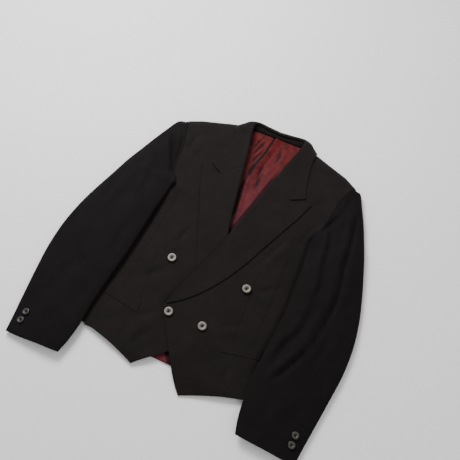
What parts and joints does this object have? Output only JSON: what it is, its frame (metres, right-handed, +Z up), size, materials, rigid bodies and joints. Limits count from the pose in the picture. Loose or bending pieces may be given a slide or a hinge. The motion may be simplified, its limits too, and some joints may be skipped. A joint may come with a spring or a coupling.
{
  "type": "tailcoat",
  "caption": "Black wool evening tailcoat with a red lining, peaked lapels and turned buttons, buttoned and laid flat on its back with its tails folded underneath.",
  "frame": {"origin": "middle of the coat's outline, on the surface that it lies on", "axes": "+X towards the wearer's left, +Y towards the collar, +Z up, away from the surface"},
  "size_m": [0.6676, 0.6738, 0.0317],
  "materials": {
    "wool": "black worsted wool, matt, with a short nap",
    "lining": "deep red satin lining with a soft sheen",
    "button": "grey brown horn buttons, satin polish"
  },
  "bodies": {
    "root": {"tail_left": "wool", "tail_right": "wool", "back_left": "wool", "back_right": "wool", "back_lining": "lining", "front_left": "wool", "front_right": "wool", "lapel_left": "wool", "lapel_right": "wool", "collar": "wool", "collar_stand": "wool", "top_sleeve_left": "wool", "top_sleeve_right": "wool", "under_sleeve_left": "wool", "under_sleeve_right": "wool", "pocket_welt_left": "wool", "pocket_welt_right": "wool", "button_upper_left": "button", "button_upper_right": "button", "button_lower_left": "button", "button_lower_right": "button", "cuff_button_high_left": "button", "cuff_button_high_right": "button", "cuff_button_low_left": "button", "cuff_button_low_right": "button"}
  },
  "joints": []
}
